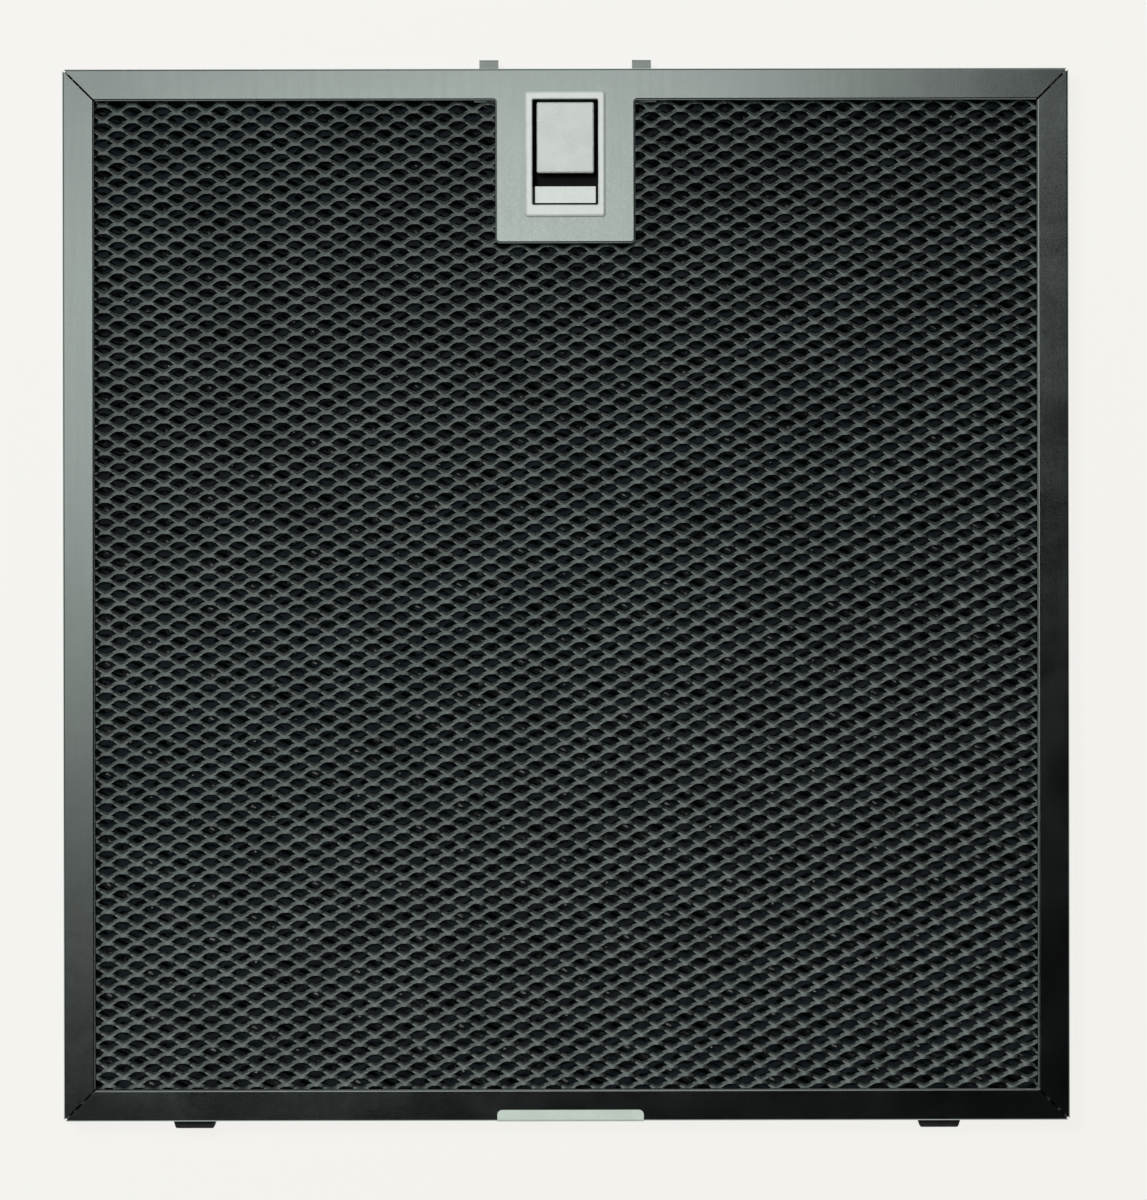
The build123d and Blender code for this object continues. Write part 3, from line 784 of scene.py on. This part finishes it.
def coil_tree():
    """Spring: a round wire on a spiral, laid along the filter."""
    tree, given, made = new_tree(
        "latch coil",
        (
            ("Turns", "Float"),
            ("Radius", "Float"),
            ("Wire", "Float"),
            ("Height", "Float"),
            ("Place", "Vector"),
            ("Finish", "Material"),
        ),
    )
    spiral = new_node(
        tree,
        "GeometryNodeCurveSpiral",
        None,
        {
            "Resolution": COIL_STEPS,
            "Rotations": given["Turns"],
            "Start Radius": given["Radius"],
            "End Radius": given["Radius"],
            "Height": given["Height"],
        },
    ).outputs[0]
    wire_radius = math_node(tree, "DIVIDE", given["Wire"], 2.0)
    section = new_node(
        tree, "GeometryNodeCurvePrimitiveCircle", None, {"Resolution": WIRE_SIDES, "Radius": wire_radius}
    ).outputs[0]
    coil = new_node(
        tree, "GeometryNodeCurveToMesh", None, {"Curve": spiral, "Profile Curve": section, "Fill Caps": True}
    ).outputs[0]
    laid = new_node(
        tree,
        "GeometryNodeTransform",
        None,
        {"Geometry": coil, "Translation": given["Place"], "Rotation": (-math.pi / 2, 0.0, 0.0)},
    ).outputs[0]
    smooth = new_node(tree, "GeometryNodeSetShadeSmooth", None, {"Geometry": laid}).outputs[0]
    whole = new_node(tree, "GeometryNodeRealizeInstances", None, {"Geometry": smooth}).outputs[0]
    painted = new_node(
        tree, "GeometryNodeSetMaterial", None, {"Geometry": whole, "Material": given["Finish"]}
    )
    tree.links.new(painted.outputs[0], made[0])
    return tree


class FILTER_OT_springs(bpy.types.Operator):
    """Makes the two latch springs; in the real latch they shorten as the bolts slide in"""

    bl_idname = "filter.springs"
    bl_label = "Springs"

    def execute(self, context):
        sizes = context.scene.filter_springs
        finishes = context.scene.filter_finishes
        steel = zinc_metal("spring steel", finishes.steel, smooth=0.2, rough=0.32)
        tree = coil_tree()
        for name in ("latch_spring_left", "latch_spring_right"):
            low, high = node_box(name)
            middle = (low + high) / 2
            reach = high.y - low.y
            piece = linked_object(name + "_coil", bpy.data.meshes.new(name))
            values = {
                "Turns": float(sizes.turns),
                "Radius": (high.x - low.x - sizes.wire) / 2,
                "Wire": sizes.wire,
                "Height": reach - sizes.wire,
                "Place": (middle.x, low.y + sizes.wire / 2, middle.z),
                "Finish": steel,
            }
            tree_modifier(piece, tree, values)
            plain_mesh(piece)
            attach(piece, "filter")
            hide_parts(name)
            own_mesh(piece)
        return {"FINISHED"}


class FILTER_OT_label(bpy.types.Operator):
    """Gives the bare label its coated paper"""

    bl_idname = "filter.label"
    bl_label = "Label"

    def execute(self, context):
        paint_nodes(("label",), coated_paper("label paper", context.scene.filter_finishes.label_paper))
        return {"FINISHED"}


def floor_material(settings):
    """Pale floor: clear of the filter it glows in the backdrop's tone; inside the filter's outline the glow
    is cut off, a painted shadow, and the lit part keeps a faint shadow.
    """
    material, tree = new_material("pale floor")
    path = new_node(tree, "ShaderNodeLightPath").outputs
    seen = math_node(tree, "MAXIMUM", path["Is Camera Ray"], path["Is Glossy Ray"])
    seen = math_node(tree, "MAXIMUM", seen, path["Is Transmission Ray"])
    place = new_node(tree, "ShaderNodeTexCoord").outputs["Object"]
    axes = new_node(tree, "ShaderNodeSeparateXYZ", None, {"Vector": place}).outputs
    # Painted shadow: the glow stops inside the filter's outline, so the floor under the filter is dark
    clear = 0.0
    for axis, reach in (("X", CAD_BOX[1][0]), ("Y", node_box("left_rail")[1].y)):
        off = math_node(tree, "ABSOLUTE", axes[axis])
        start, end = reach - settings.glow_fade, reach + settings.glow_fade
        clear = math_node(tree, "MAXIMUM", clear, ramp(tree, off, start, end, 0.0, 1.0))
    part = math_node(tree, "MULTIPLY", seen, math_node(tree, "MULTIPLY", clear, settings.glow_share))
    tone = rgba(settings.background)
    lit = new_node(tree, "ShaderNodeBsdfDiffuse", None, {"Color": tone})
    glow = new_node(tree, "ShaderNodeEmission", None, {"Color": tone, "Strength": 1.0})
    both = new_node(tree, "ShaderNodeMixShader", None, {0: part, 1: lit.outputs[0], 2: glow.outputs[0]})
    new_node(tree, "ShaderNodeOutputMaterial", None, {"Surface": both.outputs[0]})
    return material


def studio_world(background):
    """A dark room: a soft box up and to the left, a dim fill past it, a dim near wall, a pale horizon."""
    world = bpy.data.worlds.new("studio")
    world.use_nodes = True
    tree = world.node_tree
    tree.nodes.clear()
    way = new_node(tree, "ShaderNodeTexCoord").outputs["Generated"]
    axes = new_node(tree, "ShaderNodeSeparateXYZ", None, {"Vector": way}).outputs
    x, y, z = axes["X"], axes["Y"], axes["Z"]
    # Each ramp runs over directions: x to the right, y towards the latch, z up
    slanted = math_node(tree, "SUBTRACT", x, math_node(tree, "MULTIPLY", y, BOX_SLANT))
    box = product(
        tree,
        ramp(tree, slanted, -0.08, 0.08, 1.0, 0.0),
        ramp(tree, y, -0.15, 0.1, 0.0, 1.0),
        ramp(tree, x, -0.28, 0.02, 0.38, 1.0),
        ramp(tree, x, -0.7, -0.4, 0.2, 1.0),
        ramp(tree, y, 0.11, 0.19, 1.0, 0.45),
        ramp(tree, y, 0.35, 0.7, 1.0, 0.1),
    )
    fill = product(
        tree,
        ramp(tree, x, -0.42, -0.22, 0.3, 0.0),
        ramp(tree, y, 0.2, 0.4, 0.0, 1.0),
        ramp(tree, y, 0.45, 0.6, 1.0, 0.3),
    )
    horizon = product(tree, ramp(tree, z, 0.05, 0.45, 0.7, 0.0), ramp(tree, x, 0.2, 0.8, 1.0, 0.6))
    near_wall = product(tree, ramp(tree, z, 0.5, 0.92, 0.25, 0.0), ramp(tree, y, -0.3, 0.0, 1.0, 0.0))
    dim = math_node(tree, "ADD", fill, ROOM_LEVEL)
    level = math_node(tree, "ADD", math_node(tree, "MULTIPLY", box, BOX_LEVEL), dim)
    level = math_node(tree, "MAXIMUM", level, math_node(tree, "MAXIMUM", horizon, near_wall))
    sky = new_node(tree, "ShaderNodeBackground", None, {"Color": rgba(background), "Strength": level})
    new_node(tree, "ShaderNodeOutputWorld", None, {"Surface": sky.outputs[0]})
    return world


class FILTER_OT_stage(bpy.types.Operator):
    """Sets the pale floor, the studio light and the camera above the filter"""

    bl_idname = "filter.stage"
    bl_label = "Stage"

    def execute(self, context):
        scene = context.scene
        settings = scene.filter_stage
        scene.view_settings.view_transform = "Standard"
        scene.world = studio_world(settings.background)

        half = settings.floor_half
        level = CAD_BOX[0][2] - settings.floor_drop
        corners = ((-half, -half), (half, -half), (half, half), (-half, half))
        mesh = bpy.data.meshes.new("floor")
        mesh.from_pydata([(x, y, level) for x, y in corners], [], [(0, 1, 2, 3)])
        mesh.materials.append(floor_material(settings))
        floor = linked_object("floor", mesh)

        key_data = bpy.data.lights.new("key", "AREA")
        key_data.size = settings.lamp_size
        key_data.energy = settings.lamp_power
        key = bpy.data.objects.new("key", key_data)
        key.location = settings.lamp_place
        key.rotation_euler = (-key.location).to_track_quat("-Z", "Y").to_euler()
        key.visible_camera = False
        key.visible_glossy = False
        scene.collection.objects.link(key)

        camera_data = bpy.data.cameras.new("camera")
        camera_data.lens = settings.lens
        camera = bpy.data.objects.new("camera", camera_data)
        height = node_box("left_rail")[1].z + settings.camera_height
        camera.location = (settings.camera_across, settings.camera_along, height)
        camera.rotation_euler = (0.0, 0.0, settings.camera_roll)
        scene.collection.objects.link(camera)
        scene.camera = camera
        return {"FINISHED"}


class FILTER_PT_pieces(bpy.types.Panel):
    """Lists the steps that dress the filter"""

    bl_label = "Cooker hood filter"
    bl_idname = "FILTER_PT_pieces"
    bl_space_type = "VIEW_3D"
    bl_region_type = "UI"
    bl_category = "Filter"

    def draw(self, context):
        for step in STEPS:
            self.layout.operator(step.bl_idname)


STEPS = (
    FILTER_OT_stage,
    FILTER_OT_rails,
    FILTER_OT_sheets,
    FILTER_OT_latch,
    FILTER_OT_springs,
    FILTER_OT_label,
)
GROUPS = (
    ("filter_mesh", MeshSizes),
    ("filter_springs", SpringSizes),
    ("filter_finishes", Finishes),
    ("filter_stage", StageSettings),
)


def register():
    for name, group in GROUPS:
        bpy.utils.register_class(group)
        setattr(bpy.types.Scene, name, PointerProperty(type=group))
    for step in STEPS:
        bpy.utils.register_class(step)
    bpy.utils.register_class(FILTER_PT_pieces)


def unregister():
    bpy.utils.unregister_class(FILTER_PT_pieces)
    for step in reversed(STEPS):
        bpy.utils.unregister_class(step)
    for name, group in reversed(GROUPS):
        delattr(bpy.types.Scene, name)
        bpy.utils.unregister_class(group)


def main():
    register()
    bpy.ops.filter.stage()
    bpy.ops.filter.rails()
    bpy.ops.filter.sheets()
    bpy.ops.filter.latch()
    bpy.ops.filter.springs()
    bpy.ops.filter.label()


if __name__ == "__main__":
    main()
